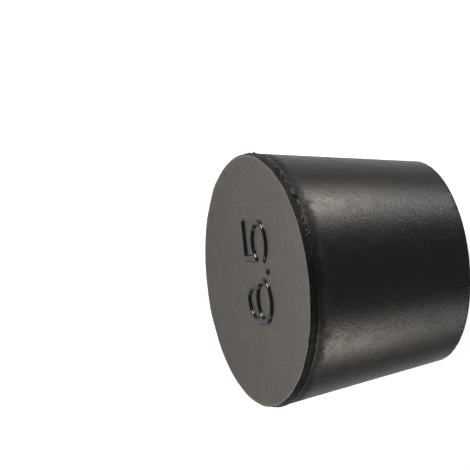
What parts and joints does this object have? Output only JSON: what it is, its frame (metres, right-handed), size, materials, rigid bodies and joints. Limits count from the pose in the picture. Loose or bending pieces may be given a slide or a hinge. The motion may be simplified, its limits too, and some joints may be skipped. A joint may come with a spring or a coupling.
{
  "type": "rubber stopper",
  "caption": "Solid tapered round stopper of moulded black rubber, with flat ends, a trimmed rim and a raised size number.",
  "frame": {"origin": "centre of the small flat end, which is the face it stands on", "axes": "+Z along the stopper's axis, from the small end up to the numbered large end; +X is the reading direction of the number, and +Y is towards the top of its digits"},
  "size_m": [0.034, 0.034, 0.0254],
  "materials": {
    "rubber": "matte flat ends, satin side"
  },
  "bodies": {
    "root": {"stopper": "rubber"}
  },
  "joints": []
}
